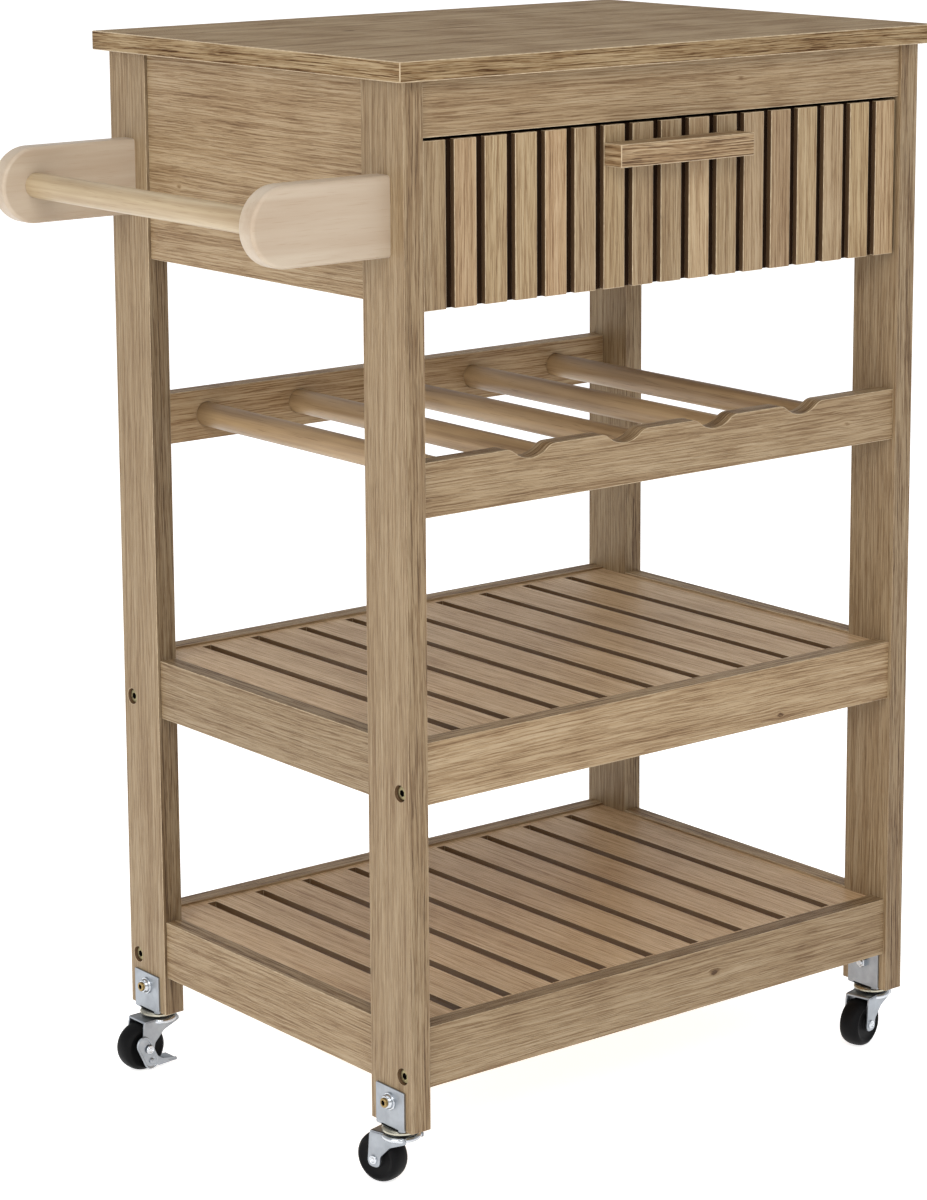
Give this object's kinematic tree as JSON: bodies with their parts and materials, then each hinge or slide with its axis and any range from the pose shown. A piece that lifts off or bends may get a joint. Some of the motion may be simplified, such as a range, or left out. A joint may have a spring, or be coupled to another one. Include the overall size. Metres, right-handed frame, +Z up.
{
  "type": "kitchen island cart",
  "caption": "Rolling kitchen cart with a slatted drawer, a wine rack of dowels, slotted shelves, a side towel bar and swivel casters.",
  "frame": {"origin": "on the floor, at the middle of the bounding box", "axes": "+X along the cart away from the towel bar, -Y the side the drawer opens to, +Z up"},
  "size_m": [0.6514, 0.409, 0.8595],
  "materials": {
    "oak_top": "oak-look laminate, satin",
    "oak_leg": "oak-look laminate with upright grain, satin",
    "oak_rail": "oak-look laminate with long grain, satin",
    "oak_slat": "oak-look slats with upright grain, satin",
    "oak_shelf": "oak-look laminate, satin",
    "dark_board": "near-black brown board, matt",
    "drawer_board": "oak-look board, matt",
    "pale_wood": "clear-finished pale solid wood, satin",
    "dowel_wood": "streaked solid wood, satin",
    "zinc": "bright zinc plated sheet steel",
    "runner_steel": "zinc plated sheet steel",
    "brass_bolts": "yellow zinc plated steel, looks like dull brass",
    "wheel_black": "black hard plastic"
  },
  "bodies": {
    "root": {"back_panel": "oak_rail", "caster_bolts": "zinc", "caster_bracket_back_left": "zinc", "caster_bracket_back_right": "zinc", "caster_bracket_front_left": "zinc", "caster_bracket_front_right": "zinc", "frame_bolts": "brass_bolts", "leg_back_left": "oak_leg", "leg_back_right": "oak_leg", "leg_front_left": "oak_leg", "leg_front_right": "oak_leg", "low_rail_back": "oak_rail", "low_rail_front": "oak_rail", "low_rail_left": "oak_rail", "low_rail_right": "oak_rail", "low_shelf_panel": "oak_shelf", "mid_rail_back": "oak_rail", "mid_rail_front": "oak_rail", "mid_rail_left": "oak_rail", "mid_rail_right": "oak_rail", "mid_shelf_panel": "oak_shelf", "runner_cabinet_left": "runner_steel", "runner_cabinet_right": "runner_steel", "side_panel_left": "oak_rail", "side_panel_right": "oak_rail", "top_board": "oak_top", "top_front_rail": "oak_rail", "towel_bar": "pale_wood", "towel_bracket_back": "pale_wood", "towel_bracket_front": "pale_wood", "wine_dowel_1": "dowel_wood", "wine_dowel_2": "dowel_wood", "wine_dowel_3": "dowel_wood", "wine_dowel_4": "dowel_wood", "wine_dowel_5": "dowel_wood", "wine_rail_back": "oak_rail", "wine_rail_front": "oak_rail"},
    "drawer": {"drawer_back": "drawer_board", "drawer_bottom": "drawer_board", "drawer_front": "dark_board", "drawer_handle": "oak_rail", "drawer_side_left": "drawer_board", "drawer_side_right": "drawer_board", "drawer_slats": "oak_slat", "runner_drawer_left": "runner_steel", "runner_drawer_right": "runner_steel"},
    "fork_front_left": {"caster_fork_front_left": "zinc", "caster_axle_front_left": "zinc"},
    "wheel_front_left": {"caster_wheel_front_left": "wheel_black"},
    "fork_front_right": {"caster_fork_front_right": "zinc", "caster_axle_front_right": "zinc"},
    "wheel_front_right": {"caster_wheel_front_right": "wheel_black"},
    "fork_back_left": {"caster_fork_back_left": "zinc", "caster_axle_back_left": "zinc"},
    "wheel_back_left": {"caster_wheel_back_left": "wheel_black"},
    "lever_back_left": {"brake_lever_back_left": "zinc"},
    "fork_back_right": {"caster_fork_back_right": "zinc", "caster_axle_back_right": "zinc"},
    "wheel_back_right": {"caster_wheel_back_right": "wheel_black"},
    "lever_back_right": {"brake_lever_back_right": "zinc"}
  },
  "joints": [
    {"name": "drawer_slide", "type": "slide", "parent": "root", "child": "drawer", "axis": [0, -1, 0], "range_m": [0, 0.25]},
    {"name": "swivel_front_left", "type": "hinge", "parent": "root", "child": "fork_front_left", "pos_m": [-0.19525, -0.1635, 0.0445], "axis": [0, 0, 1], "continuous": true},
    {"name": "wheel_spin_front_left", "type": "hinge", "parent": "fork_front_left", "child": "wheel_front_left", "pos_m": [-0.19973, -0.14555, 0.02], "axis": [-0.9703, -0.2419, 0], "continuous": true},
    {"name": "swivel_front_right", "type": "hinge", "parent": "root", "child": "fork_front_right", "pos_m": [0.30675, -0.1635, 0.0445], "axis": [0, 0, 1], "continuous": true},
    {"name": "wheel_spin_front_right", "type": "hinge", "parent": "fork_front_right", "child": "wheel_front_right", "pos_m": [0.28872, -0.16766, 0.02], "axis": [0.225, -0.9744, 0], "continuous": true},
    {"name": "swivel_back_left", "type": "hinge", "parent": "root", "child": "fork_back_left", "pos_m": [-0.19525, 0.1705, 0.0445], "axis": [0, 0, 1], "continuous": true},
    {"name": "wheel_spin_back_left", "type": "hinge", "parent": "fork_back_left", "child": "wheel_back_left", "pos_m": [-0.21375, 0.17018, 0.02], "axis": [0.0175, -0.9998, 0], "continuous": true},
    {"name": "brake_back_left", "type": "hinge", "parent": "fork_back_left", "child": "lever_back_left", "pos_m": [-0.21375, 0.17018, 0.02], "axis": [0.0175, -0.9998, 0], "range_deg": [0, 20]},
    {"name": "swivel_back_right", "type": "hinge", "parent": "root", "child": "fork_back_right", "pos_m": [0.30675, 0.1705, 0.0445], "axis": [0, 0, 1], "continuous": true},
    {"name": "wheel_spin_back_right", "type": "hinge", "parent": "fork_back_right", "child": "wheel_back_right", "pos_m": [0.28843, 0.17308, 0.02], "axis": [-0.1392, -0.9903, 0], "continuous": true},
    {"name": "brake_back_right", "type": "hinge", "parent": "fork_back_right", "child": "lever_back_right", "pos_m": [0.28843, 0.17308, 0.02], "axis": [-0.1392, -0.9903, 0], "range_deg": [0, 20]}
  ]
}
